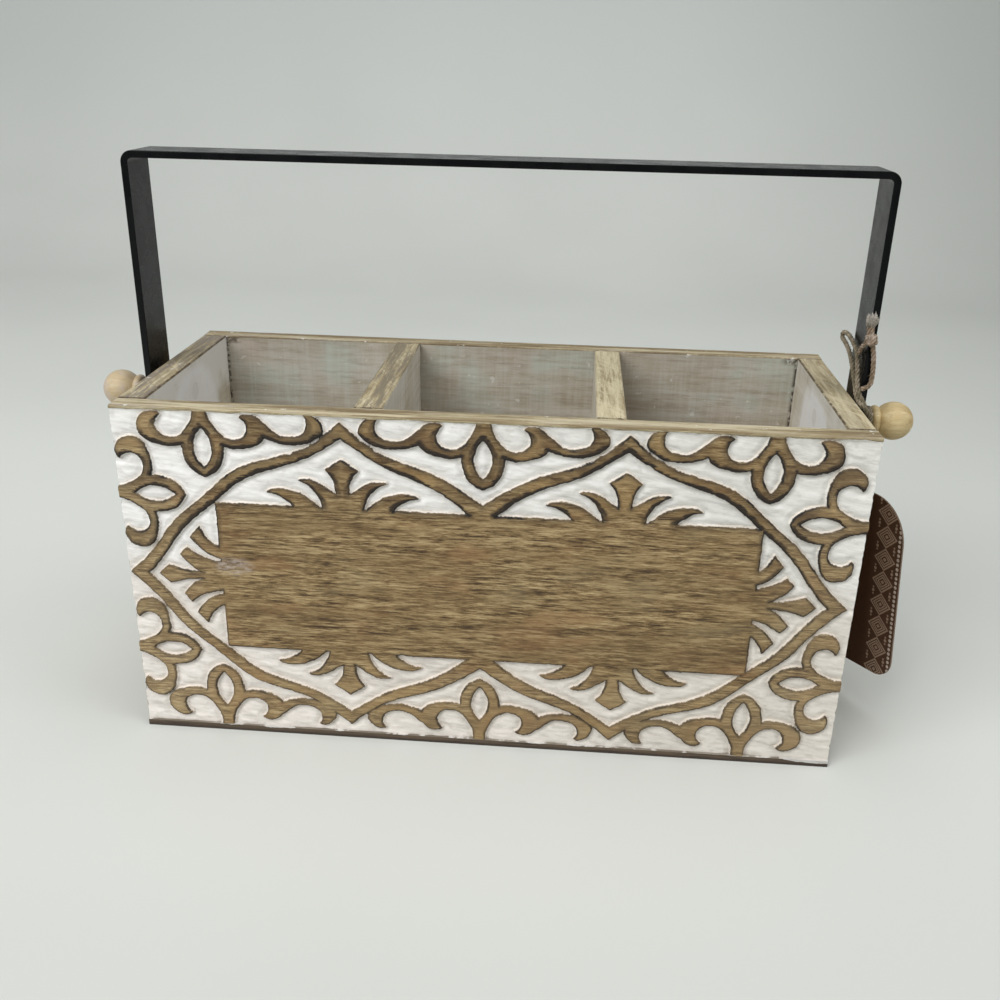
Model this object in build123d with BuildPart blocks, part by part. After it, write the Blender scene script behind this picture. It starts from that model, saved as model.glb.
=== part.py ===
"""Silverware caddy: a carved wooden box with three compartments, a strap handle and a tag.

Millimetres. X runs along the box, Y from front to back, Z up, origin under the middle of the base.
"""

import os
from math import cos, pi, radians, sin, sqrt, tan

from build123d import *

os.makedirs("parts", exist_ok=True)

# Driving dimensions of the box
body_length = 305.0
body_depth = 124.6
wall_height = 150.0
base_thickness = 3.0
face_board = 10.0
end_board = 11.5
divider_board = 12.0
top_ease = 0.5

# Driving dimensions of the carving, which is cut by hand a little left of the middle
carving_depth = 2.0
carving_offset = -1.2
pattern_half_length = 154.0
pattern_half_height = 75.0
foot_row_lift = 1.6
field_half_length = 112.0
field_half_height = 34.0
overrun = 3.0

# Driving dimensions of the handle and its knobs
strap_width = 22.5
strap_thickness = 3.0
strap_gap = 3.7
strap_bend = 5.0
strap_ease = 0.3
handle_rise = 92.5
pivot_drop = 14.0
pivot_setback = 4.0
shank_diameter = 8.0
shank_clearance = 0.3
glue_clearance = 0.05
neck_length = 6.2
bead_diameter = 13.2
bead_length = 3.4
waist_diameter = 10.6
ball_diameter = 17.0

# Driving dimensions of the nails
pin_diameter = 1.4
pin_length = 24.0
pin_setback = 0.8
corner_pin_pitch = 50.0
divider_pin_pitch = 70.0
base_nail_diameter = 1.6
base_nail_length = 18.0
base_head_diameter = 4.0
base_head_height = 0.8
base_head_depth = 0.3
nail_clearance = 0.05

# Driving dimensions of the tag and its twine
tag_width = 46.0
tag_height = 86.0
tag_thickness = 0.8
tag_top_radius = 20.0
tag_foot_radius = 9.0
tag_hole_diameter = 3.2
tag_hole_drop = 7.0
tag_turn = 30.0
tag_lean = 5.6
tag_hang = 41.5
tag_out = 11.8
tag_back = 0.4
twine_diameter = 1.8
knot_diameter = 6.5

# Places worked out from the driving dimensions
half_length = body_length / 2
half_depth = body_depth / 2
board_middle = base_thickness + wall_height / 2
rim_height = base_thickness + wall_height
inner_depth = body_depth - 2 * face_board
inner_length = body_length - 2 * end_board
bay_length = (inner_length - 2 * divider_board) / 3
divider_offset = (bay_length + divider_board) / 2
end_middle = half_length - end_board / 2
pivot_height = rim_height - pivot_drop
strap_inside = half_length + strap_gap
strap_outside = strap_inside + strap_thickness
handle_top = rim_height + handle_rise
bead_start = strap_outside + neck_length
waist = bead_start + bead_length
ball_middle = waist + sqrt((ball_diameter / 2) ** 2 - (waist_diameter / 2) ** 2)


def save(builder, name):
    """Name a finished piece and write it to its own file."""
    builder.part.label = name
    export_step(builder.part, "parts/" + name + ".step")
    print(name, "solids", len(builder.solids()), "volume", round(builder.part.volume, 1))


# Carved ornament, drawn once about the middle of a board

carving_middle = Plane.YZ.offset(carving_offset)


def spot(x, w):
    """Point of the pattern, stretched to the size of the board."""
    return (x * half_length / pattern_half_length + carving_offset, w * wall_height / 2 / pattern_half_height)


def outline(*stretches, mode=Mode.ADD):
    """Face bounded by stretches that meet at corners: two points make a line, more make a spline."""
    with BuildLine() as edge:
        for stretch in stretches:
            points = [spot(x, w) for x, w in stretch]
            if len(points) == 2:
                Line(*points)
            else:
                Spline(*points)
    make_face(edge.edges(), mode=mode)


def from_top(middle, side):
    """Motif hanging from the top edge: along the edge, then in from it."""
    return lambda along, inward: (middle + side * along, pattern_half_height - inward)


def from_left(middle, side, reach):
    """Motif growing from the left edge: along the edge, then in from it."""
    return lambda along, inward: (inward - pattern_half_length, middle + side * reach * along)


def bud(right, left):
    """Stem and pointed ring of a fleur, with its open eye; right and left place the two halves."""
    stem = [(2.8, -overrun), (3.0, 3.0), (4.3, 6.2), (6.5, 9.5), (9.5, 12.6)]
    shoulder = [(9.5, 12.6), (8.7, 16.0)]
    ring = [(8.7, 16.0), (8.4, 19.0), (7.5, 22.6), (5.5, 26.0), (2.8, 28.2), (0.0, 29.4)]
    eye = [(0.0, 8.0), (2.6, 11.5), (3.9, 15.5), (3.7, 19.5), (2.2, 23.0), (0.0, 25.8)]
    halves = []
    for place in (right, left):
        for stretch in (stem, shoulder, ring):
            halves.append([place(*point) for point in stretch])
    halves.append([right(2.8, -overrun), left(2.8, -overrun)])
    outline(*halves)
    outline([right(*point) for point in eye], [left(*point) for point in eye], mode=Mode.SUBTRACT)


def near_scroll(place):
    """Arm of a fleur that curls back to the edge."""
    hollow = [
        (4.3, 6.2), (6.5, 9.5), (9.8, 12.4), (13.0, 13.1), (16.2, 12.4),
        (18.5, 10.2), (19.2, 7.4), (18.4, 5.0), (16.6, 3.2),
    ]
    back = [
        (16.6, 3.2), (18.4, 2.2), (21.2, 2.2), (24.3, 3.8), (26.2, 7.0), (26.2, 10.6),
        (24.4, 13.4), (21.0, 15.2), (17.0, 16.2), (13.2, 16.6), (8.0, 15.2),
    ]
    root = [(8.0, 15.2), (4.3, 6.2)]
    outline(*[[place(*point) for point in stretch] for stretch in (hollow, back, root)])


def far_scroll(place):
    """Second curl that follows the first along the edge."""
    hollow = [
        (25.0, 5.0), (26.9, 6.1), (28.9, 7.9), (31.4, 9.8), (34.9, 10.8),
        (39.0, 10.5), (42.2, 9.0), (43.8, 6.2), (43.8, 3.6), (42.6, 1.3),
    ]
    back = [
        (42.6, 1.3), (45.2, 1.1), (48.0, 2.6), (49.9, 5.1), (50.3, 7.4), (49.3, 9.2),
        (46.7, 11.2), (43.6, 12.8), (40.2, 13.6), (36.2, 13.8), (32.2, 13.3), (27.2, 11.8),
    ]
    root = [(27.2, 11.8), (24.5, 10.5)]
    join = [(24.5, 10.5), (25.0, 5.0)]
    outline(*[[place(*point) for point in stretch] for stretch in (hollow, back, root, join)])


def bay_leaves(middle, side):
    """Two leaves on one side of a palmette that rises from the long edge of the field."""
    inner = [
        [(18.0, 46.0), (12.5, 46.0), (9.0, 44.5), (5.5, 42.0), (2.2, 40.2)],
        [(2.2, 40.2), (1.0, 32.0)],
        [(1.0, 32.0), (8.2, 32.0)],
        [(8.2, 32.0), (9.5, 37.7), (11.5, 41.2), (14.5, 44.2), (18.0, 46.0)],
    ]
    outer = [
        [(31.5, 40.1), (28.0, 41.5), (24.0, 41.5), (18.0, 40.0), (14.0, 37.7), (8.6, 32.5)],
        [(8.6, 32.5), (20.5, 32.5)],
        [(20.5, 32.5), (21.5, 35.0), (24.0, 37.2), (27.0, 39.0), (31.5, 40.1)],
    ]
    for leaf in (inner, outer):
        outline(*[[(middle + side * x, w) for x, w in stretch] for stretch in leaf])


bay_middle = -57.9
corner_fleur_middle = -115.2
left_fleur_middle = 37.0
left_fleur_reach = 0.93

with BuildSketch() as lattice_outside:
    outline(
        [
            (-152.0, 0.0), (-145.0, 6.7), (-138.5, 14.2), (-130.0, 25.4), (-120.0, 34.0), (-111.0, 42.2),
            (-100.0, 50.4), (-90.0, 53.8), (-80.0, 56.8), (-70.0, 61.6), (-64.0, 66.2), (-58.0, 71.2),
        ],
        [
            (-58.0, 71.2), (-51.0, 65.0), (-41.0, 58.4), (-30.0, 54.2),
            (-20.0, 50.6), (-9.0, 44.5), (0.0, 38.2),
        ],
        [(0.0, 38.2), (3.0, 30.0)],
        [(3.0, 30.0), (3.0, -3.0)],
        [(3.0, -3.0), (-146.0, -3.0)],
        [(-146.0, -3.0), (-152.0, 0.0)],
    )
    mirror(about=carving_middle)
    mirror(about=Plane.XZ)

with BuildSketch() as lattice_inside:
    outline(
        [
            (-144.2, 0.0), (-137.0, 8.2), (-131.0, 16.6), (-124.0, 24.8), (-112.0, 35.0), (-104.0, 42.0),
            (-94.0, 47.9), (-84.0, 51.4), (-74.0, 55.0), (-64.5, 60.4), (-58.0, 64.8),
        ],
        [
            (-58.0, 64.8), (-48.5, 58.3), (-39.0, 52.7), (-28.0, 48.4),
            (-18.0, 43.6), (-9.0, 37.2), (0.0, 29.6),
        ],
        [(0.0, 29.6), (3.0, 22.0)],
        [(3.0, 22.0), (3.0, -3.0)],
        [(3.0, -3.0), (-139.0, -3.0)],
        [(-139.0, -3.0), (-144.2, 0.0)],
    )
    mirror(about=carving_middle)
    mirror(about=Plane.XZ)

with BuildSketch() as motifs:
    # Palmette in the bay over the field: bud, then leaves
    outline(
        [(bay_middle, 55.5), (bay_middle - 6.6, 51.0)],
        [(bay_middle - 6.6, 51.0), (bay_middle - 3.6, 46.5), (bay_middle - 2.6, 42.0), (bay_middle - 2.4, 32.0)],
        [(bay_middle - 2.4, 32.0), (bay_middle + 2.4, 32.0)],
        [(bay_middle + 2.4, 32.0), (bay_middle + 2.6, 42.0), (bay_middle + 3.6, 46.5), (bay_middle + 6.6, 51.0)],
        [(bay_middle + 6.6, 51.0), (bay_middle, 55.5)],
    )
    bay_leaves(bay_middle, -1)
    bay_leaves(bay_middle, 1)
    # Palmette at the end of the field: half its bud, then two blunt leaves
    outline(
        [(-139.5, 0.0), (-135.0, 4.2)],
        [(-135.0, 4.2), (-129.5, 2.5), (-124.5, 1.7), (-107.0, 1.2)],
        [(-107.0, 1.2), (-107.0, -0.6)],
        [(-107.0, -0.6), (-138.5, -0.6)],
        [(-138.5, -0.6), (-139.5, 0.0)],
    )
    outline(
        [(-107.0, 0.3), (-119.5, 1.2), (-125.0, 4.6), (-129.2, 9.4)],
        [(-129.2, 9.4), (-126.3, 12.8)],
        [(-126.3, 12.8), (-122.5, 10.0), (-117.5, 7.8), (-107.0, 6.6)],
        [(-107.0, 6.6), (-107.0, 0.3)],
    )
    outline(
        [(-107.0, 8.0), (-116.5, 10.2), (-121.0, 13.8), (-124.2, 17.8)],
        [(-124.2, 17.8), (-120.0, 22.8)],
        [(-120.0, 22.8), (-117.8, 18.2), (-114.8, 15.2), (-107.0, 13.6)],
        [(-107.0, 13.6), (-107.0, 8.0)],
    )
    # Fleur on the left edge
    upper = from_left(left_fleur_middle, 1, left_fleur_reach)
    lower = from_left(left_fleur_middle, -1, left_fleur_reach)
    bud(upper, lower)
    near_scroll(upper)
    near_scroll(lower)
    mirror(about=carving_middle)
    mirror(about=Plane.XZ)

with BuildSketch() as edge_row:
    # Fleurs along the top edge: near the corners, then in the middle
    bud(from_top(corner_fleur_middle, 1), from_top(corner_fleur_middle, -1))
    near_scroll(from_top(corner_fleur_middle, -1))
    near_scroll(from_top(corner_fleur_middle, 1))
    far_scroll(from_top(corner_fleur_middle, 1))
    mirror(about=carving_middle)
    bud(from_top(0.0, 1), from_top(0.0, -1))
    for side in (-1, 1):
        near_scroll(from_top(0.0, side))
        far_scroll(from_top(0.0, side))

with BuildSketch() as foot_row:
    with Locations((0, foot_row_lift)):
        add(mirror(edge_row.sketch, about=Plane.XZ, mode=Mode.PRIVATE))

with BuildSketch() as raised:
    add(lattice_outside.sketch)
    add(lattice_inside.sketch, mode=Mode.SUBTRACT)
    Rectangle(2 * field_half_length, 2 * field_half_height)
    add(motifs.sketch)
    add(edge_row.sketch)
    add(foot_row.sketch)

with BuildSketch() as ground:
    Rectangle(body_length, wall_height)
    add(raised.sketch, mode=Mode.SUBTRACT)
print("carved pockets", len(ground.faces()), "area", round(ground.sketch.area, 1))

# Where the pins and nails stand, shared by the holes and the pieces

pin_start = half_depth - carving_depth - pin_setback
corner_pins = [(side * end_middle, row * corner_pin_pitch) for side in (-1, 1) for row in (-1, 0, 1)]
divider_pins = [(side * divider_offset, row * divider_pin_pitch / 2) for side in (-1, 1) for row in (-1, 1)]
wall_nail_line = half_depth - face_board / 2
wall_nail_pitch = inner_length / 3
wall_nails = [(step * wall_nail_pitch, side * wall_nail_line) for side in (-1, 1) for step in (-1.5, -0.5, 0.5, 1.5)]
cross_middles = (-end_middle, -divider_offset, divider_offset, end_middle)
cross_nails = [(middle, row * inner_depth / 4) for middle in cross_middles for row in (-1, 1)]
pin_hole = pin_diameter / 2 + nail_clearance
nail_hole = base_nail_diameter / 2 + nail_clearance
nail_reach = base_head_depth + base_nail_length + nail_clearance


def face_plane(side):
    """Outer face of the front (side -1) or back (side 1) board, looking out of the box."""
    return Plane(origin=(0, side * half_depth, board_middle), x_dir=(-side, 0, 0), z_dir=(0, side, 0))


def pin_plane(side):
    """Plane across the heads of the pins in the front (side -1) or back (side 1) board, looking out."""
    return Plane(origin=(0, side * pin_start, board_middle), x_dir=(-side, 0, 0), z_dir=(0, side, 0))


def cut_pin_holes(side, spots):
    """Holes for pins driven in from the front or back; each runs a hair past its pin."""
    with BuildSketch(pin_plane(side)) as holes:
        with Locations(*[(-side * x, w) for x, w in spots]):
            Circle(pin_hole)
    extrude(holes.sketch, amount=-(pin_length + nail_clearance), mode=Mode.SUBTRACT)


def cut_nail_holes(spots):
    """Holes for nails driven up through the base."""
    with BuildSketch() as holes:
        with Locations(*spots):
            Circle(nail_hole)
    extrude(holes.sketch, amount=nail_reach, mode=Mode.SUBTRACT)


def ease_top(builder):
    """Take the sharp edge off the rim of a board."""
    chamfer(builder.faces().sort_by(Axis.Z)[-1].edges().sort_by(SortBy.LENGTH)[-2:], top_ease)


# Front and back boards, carved alike

with BuildPart() as front_panel:
    with Locations((0, -half_depth + face_board / 2, board_middle)):
        Box(body_length, face_board, wall_height)
    ease_top(front_panel)
    with BuildSketch(face_plane(-1)):
        add(ground.sketch)
    extrude(amount=-carving_depth, mode=Mode.SUBTRACT)
    cut_pin_holes(-1, corner_pins + divider_pins)
    cut_nail_holes([place for place in wall_nails if place[1] < 0])
save(front_panel, "front_panel")

with BuildPart() as back_panel:
    with Locations((0, half_depth - face_board / 2, board_middle)):
        Box(body_length, face_board, wall_height)
    ease_top(back_panel)
    with BuildSketch(face_plane(1)):
        add(ground.sketch)
    extrude(amount=-carving_depth, mode=Mode.SUBTRACT)
    cut_pin_holes(1, corner_pins + divider_pins)
    cut_nail_holes([place for place in wall_nails if place[1] > 0])
save(back_panel, "back_panel")

# End boards and dividers, butted between the front and back


def cross_board(middle, thickness, pins):
    """Board that runs front to back, with its pin and nail holes."""
    with Locations((middle, 0, board_middle)):
        Box(thickness, inner_depth, wall_height)
    for side in (-1, 1):
        cut_pin_holes(side, [place for place in pins if place[0] == middle])
    cut_nail_holes([place for place in cross_nails if place[0] == middle])


def cut_shank_hole():
    """Hole through the end boards for the shanks of the knobs."""
    with BuildSketch(Plane.YZ) as hole:
        with Locations((pivot_setback, pivot_height)):
            Circle(shank_diameter / 2 + glue_clearance)
    extrude(hole.sketch, amount=half_length + overrun, both=True, mode=Mode.SUBTRACT)


with BuildPart() as left_end_panel:
    cross_board(-end_middle, end_board, corner_pins)
    ease_top(left_end_panel)
    cut_shank_hole()
save(left_end_panel, "left_end_panel")

with BuildPart() as right_end_panel:
    cross_board(end_middle, end_board, corner_pins)
    ease_top(right_end_panel)
    cut_shank_hole()
save(right_end_panel, "right_end_panel")

with BuildPart() as left_divider:
    cross_board(-divider_offset, divider_board, divider_pins)
    ease_top(left_divider)
save(left_divider, "left_divider")

with BuildPart() as right_divider:
    cross_board(divider_offset, divider_board, divider_pins)
    ease_top(right_divider)
save(right_divider, "right_divider")

# Base board under the walls, with sunk heads

with BuildPart() as base_board:
    with Locations((0, 0, base_thickness / 2)):
        Box(body_length, body_depth, base_thickness)
    cut_nail_holes(wall_nails + cross_nails)
    with BuildSketch():
        with Locations(*wall_nails, *cross_nails):
            Circle(base_head_diameter / 2 + nail_clearance)
    extrude(amount=base_head_depth + base_head_height + nail_clearance, mode=Mode.SUBTRACT)
save(base_board, "base_board")

# Handle: one flat strap bent to a square U, with rounded feet

with BuildPart() as bail_handle:
    foot = pivot_height - strap_width / 2
    with BuildSketch(Plane.XZ.offset(-pivot_setback)):
        with Locations((0, (handle_top + foot) / 2)):
            Rectangle(2 * strap_outside, handle_top - foot)
        fillet(vertices().group_by(Axis.Y)[-1], strap_bend)
        with BuildSketch(mode=Mode.SUBTRACT):
            with Locations((0, (handle_top - strap_thickness + foot - overrun) / 2)):
                Rectangle(2 * strap_inside, handle_top - strap_thickness - foot + overrun)
            fillet(vertices().group_by(Axis.Y)[-1], strap_bend - strap_thickness)
    extrude(amount=strap_width / 2, both=True)
    with BuildSketch(Plane.YZ):
        with Locations((pivot_setback, pivot_height)):
            Circle(strap_width / 2)
        with Locations((pivot_setback, (pivot_height + handle_top) / 2)):
            Rectangle(strap_width, handle_top - pivot_height)
    extrude(amount=strap_outside, both=True, mode=Mode.INTERSECT)
    rails = bail_handle.faces().filter_by(Axis.Y).edges()
    fillet([edge for edge in rails if edge.length > 2 * strap_thickness], strap_ease)
    with BuildSketch(Plane.YZ):
        with Locations((pivot_setback, pivot_height)):
            Circle(shank_diameter / 2 + shank_clearance)
    extrude(amount=strap_outside + overrun, both=True, mode=Mode.SUBTRACT)
save(bail_handle, "bail_handle")

# Knobs: ball, bead and shank turned in one


def turn_knob(side):
    """Revolve the outline of a knob about the pivot line."""
    plane = Plane(origin=(0, pivot_setback, pivot_height), x_dir=(side, 0, 0), z_dir=(0, -side, 0))
    shank = shank_diameter / 2
    start = half_length - end_board
    with BuildSketch(plane) as profile:
        with BuildLine() as edge:
            Polyline((ball_middle + ball_diameter / 2, 0), (start, 0), (start, shank), (bead_start, shank))
            ThreePointArc(
                (bead_start, shank), (bead_start + bead_length / 2, bead_diameter / 2), (waist, waist_diameter / 2)
            )
            ThreePointArc(
                (waist, waist_diameter / 2), (ball_middle, ball_diameter / 2), (ball_middle + ball_diameter / 2, 0)
            )
        make_face()
    revolve(profile.sketch, axis=Axis((0, pivot_setback, pivot_height), (1, 0, 0)))


with BuildPart() as left_knob:
    turn_knob(-1)
save(left_knob, "left_knob")

with BuildPart() as right_knob:
    turn_knob(1)
save(right_knob, "right_knob")

# Pins and nails


def drive_pins(side, spots):
    """Pins from the front or back board into the boards behind it."""
    with BuildSketch(pin_plane(side)) as shafts:
        with Locations(*[(-side * x, w) for x, w in spots]):
            Circle(pin_diameter / 2)
    extrude(shafts.sketch, amount=-pin_length)


def drive_nails(spots):
    """Flat-headed nails up through the base, their heads just under its face."""
    with BuildSketch(Plane.XY.offset(base_head_depth)) as shafts:
        with Locations(*spots):
            Circle(base_nail_diameter / 2)
    extrude(shafts.sketch, amount=base_nail_length)
    with BuildSketch(Plane.XY.offset(base_head_depth)) as heads:
        with Locations(*spots):
            Circle(base_head_diameter / 2)
    extrude(heads.sketch, amount=base_head_height)


with BuildPart() as front_corner_pins:
    drive_pins(-1, corner_pins)
save(front_corner_pins, "front_corner_pins")

with BuildPart() as back_corner_pins:
    drive_pins(1, corner_pins)
save(back_corner_pins, "back_corner_pins")

with BuildPart() as front_divider_pins:
    drive_pins(-1, divider_pins)
save(front_divider_pins, "front_divider_pins")

with BuildPart() as back_divider_pins:
    drive_pins(1, divider_pins)
save(back_divider_pins, "back_divider_pins")

with BuildPart() as base_wall_nails:
    drive_nails(wall_nails)
save(base_wall_nails, "base_wall_nails")

with BuildPart() as base_cross_nails:
    drive_nails(cross_nails)
save(base_cross_nails, "base_cross_nails")

# Tag: a card with a round head, hanging from its hole

tag_hole = (strap_outside + tag_out, pivot_setback + tag_back, pivot_height - tag_hang)
turn = radians(tag_turn)
lean = radians(tag_lean)
tag_plane = Plane(
    origin=tag_hole,
    x_dir=(sin(turn) * cos(lean), -cos(turn) * cos(lean), sin(lean)),
    z_dir=(-cos(turn), -sin(turn), 0),
)

with BuildPart() as hang_tag:
    with BuildSketch(tag_plane):
        with Locations((0, tag_hole_drop - tag_height / 2)):
            Rectangle(tag_width, tag_height)
        fillet(vertices().group_by(Axis.Y)[-1], tag_top_radius)
        fillet(vertices().group_by(Axis.Y)[0], tag_foot_radius)
        Circle(tag_hole_diameter / 2, mode=Mode.SUBTRACT)
    extrude(amount=tag_thickness / 2, both=True)
save(hang_tag, "hang_tag")

# Twine: straight runs joined by arcs, at points set out from the root of the right knob


def from_root(point):
    """Point of a route, measured from the outer face of the strap on the pivot line."""
    return Vector(strap_outside + point[0], pivot_setback + point[1], pivot_height + point[2])


def bend_radii(points):
    """Arc at each bend of a route, as wide as the shorter of its two runs allows."""
    radii = []
    for first, bend, last in zip(points, points[1:], points[2:]):
        before = bend - first
        after = last - bend
        half_turn = radians(before.get_angle(after)) / 2
        radii.append(0.45 * min(before.length, after.length) / tan(half_turn))
    return radii


def lay_twine(route, name):
    """Round cord along a route; prints its bends and how its volume compares with its length."""
    points = [from_root(point) for point in route]
    radii = bend_radii(points)
    with BuildLine() as path:
        FilletPolyline(*points, radius=radii)
    wire = path.wire()
    with BuildSketch(Plane(origin=wire @ 0, z_dir=wire % 0)) as section:
        Circle(twine_diameter / 2)
    tube = sweep(section.sketch, path=wire)
    fill = tube.volume / (pi * twine_diameter ** 2 / 4 * wire.length)
    print(name, "bends", [round(radius, 1) for radius in radii], "length", round(wire.length, 1), "fill", round(fill, 3))


tag_route = [
    (5.0, -0.2, 5.2), (5.0, -5.2, 5.2), (5.0, -4.9, -8.0), (9.6, -1.0, -28.0), (9.8, -0.8, -36.0),
    (10.1, -0.6, -41.5), (13.5, 1.4, -41.5), (13.8, 1.6, -36.0), (14.0, 1.9, -28.0), (5.0, 4.9, -8.0),
    (5.0, 5.2, 5.2), (5.0, 0.2, 5.2),
]
with BuildPart() as tag_twine:
    lay_twine(tag_route, "tag_twine")
save(tag_twine, "tag_twine")

bight_route = [
    (1.2, 5.2, 3.0), (1.2, 5.2, -5.2), (1.2, -5.2, -5.2), (1.2, -5.6, 2.0), (1.4, -11.6, 7.0),
    (-1.6, -13.2, 11.6), (-4.4, -11.6, 16.5), (-4.5, -6.5, 24.5), (-4.5, -3.0, 31.0), (-4.6, 8.0, 33.8),
    (-4.7, 16.0, 34.6), (-4.6, 22.5, 33.8), (-4.6, 25.8, 32.8), (-4.6, 25.8, 30.2), (-4.6, 21.5, 29.2),
    (-4.7, 16.0, 28.4), (-4.6, 9.5, 27.0), (-4.6, 1.5, 23.0), (-4.6, -6.5, 18.0), (-4.4, -12.0, 12.6),
    (-0.8, -15.2, 9.4), (2.9, -12.2, 5.6), (3.1, -5.6, 2.0), (3.1, -5.2, -5.2), (3.1, 5.2, -5.2), (3.1, 5.2, 3.0),
]
with BuildPart() as twine_bight:
    lay_twine(bight_route, "twine_bight")
save(twine_bight, "twine_bight")

knot_middle = (-2.8, -14.7, 39.4)
knot_strands = {
    "front strand": [
        knot_middle, (-0.9, -13.6, 34.5), (0.1, -13.2, 28.0), (0.3, -13.2, 22.5), (0.0, -13.4, 19.6),
        (-2.2, -13.6, 18.2), (-3.6, -13.6, 17.9),
    ],
    "inner strand": [knot_middle, (-4.8, -12.0, 37.0), (-4.8, -8.2, 34.4), (-4.8, -5.8, 31.4)],
    "short tail": [knot_middle, (-4.6, -14.4, 43.0), (-4.5, -14.8, 46.0), (-4.9, -14.6, 49.4)],
    "long tail": [knot_middle, (-3.4, -15.0, 43.4), (-3.8, -15.4, 46.4), (-3.9, -15.6, 50.4)],
}
with BuildPart() as twine_knot:
    with Locations(from_root(knot_middle)):
        Sphere(knot_diameter / 2)
    for name, route in knot_strands.items():
        lay_twine(route, name)
save(twine_knot, "twine_knot")
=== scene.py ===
"""Dressed scene of a carved wooden caddy: camera, twine, carved boards, finishes, floor and light."""
import math
from functools import partialmethod

import bmesh
import bpy
import numpy as np
from mathutils import Matrix, Vector, noise
from mathutils.geometry import delaunay_2d_cdt


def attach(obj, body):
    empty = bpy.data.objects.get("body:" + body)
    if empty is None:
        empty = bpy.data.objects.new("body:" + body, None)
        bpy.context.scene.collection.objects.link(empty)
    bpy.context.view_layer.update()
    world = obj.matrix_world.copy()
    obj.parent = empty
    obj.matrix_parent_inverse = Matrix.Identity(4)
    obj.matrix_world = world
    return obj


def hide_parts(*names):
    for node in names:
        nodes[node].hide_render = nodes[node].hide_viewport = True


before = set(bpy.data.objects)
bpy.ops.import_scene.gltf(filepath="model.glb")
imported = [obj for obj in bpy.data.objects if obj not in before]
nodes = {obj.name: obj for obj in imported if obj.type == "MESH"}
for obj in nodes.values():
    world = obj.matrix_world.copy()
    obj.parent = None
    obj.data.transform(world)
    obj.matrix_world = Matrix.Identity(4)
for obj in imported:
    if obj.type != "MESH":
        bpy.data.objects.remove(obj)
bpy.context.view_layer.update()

MM = 0.001
scene = bpy.context.scene

# Driving sizes, in millimetres, as in the solids
half_length = 152.5
half_depth = 62.3
base_top = 3.0
rim = 153.0
face_board = 10.0
end_board = 11.5
bay_end = half_length - end_board
inner_half = 52.3
carving_depth = 2.0
twine_diameter = 1.8
pivot = Vector((159.2, 4.0, 139.0))


def make_object(name, mesh, body):
    """Put a mesh in the scene, on a body."""
    piece = bpy.data.objects.new(name, mesh)
    scene.collection.objects.link(piece)
    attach(piece, body)
    return piece


# Camera at the photograph's place


def place_camera():
    """Camera fitted to the photograph's 1000 by 1000 frame."""
    place = Vector((32.05, -445.81, 283.66)) * MM
    yaw = math.radians(3.894)
    pitch = math.radians(23.078)
    roll = math.radians(1.255)
    data = bpy.data.cameras.new("camera")
    data.sensor_fit = "HORIZONTAL"
    data.sensor_width = 36
    data.lens = 37.344
    data.clip_start = 0.01
    camera = bpy.data.objects.new("camera", data)
    scene.collection.objects.link(camera)
    heading = Matrix.Rotation(yaw, 4, "Z") @ Matrix.Rotation(math.pi / 2 - pitch, 4, "X")
    camera.matrix_world = Matrix.Translation(place) @ heading @ Matrix.Rotation(roll, 4, "Z")
    scene.camera = camera


place_camera()


# Node helpers


def paint(red, green, blue):
    """A colour as seen on screen, made linear."""
    def linear(value):
        value = value / 255
        return value / 12.92 if value <= 0.04045 else ((value + 0.055) / 1.055) ** 2.4
    return (linear(red), linear(green), linear(blue), 1.0)


class Value:
    """A node's output that can stand in a formula."""

    def __init__(self, look, socket):
        self.look = look
        self.socket = socket

    def reckon(self, operation, *others):
        return self.look.compute(operation, self, *others)

    __add__ = partialmethod(reckon, "ADD")
    __sub__ = partialmethod(reckon, "SUBTRACT")
    __mul__ = partialmethod(reckon, "MULTIPLY")
    __pow__ = partialmethod(reckon, "POWER")
    __abs__ = partialmethod(reckon, "ABSOLUTE")


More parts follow.
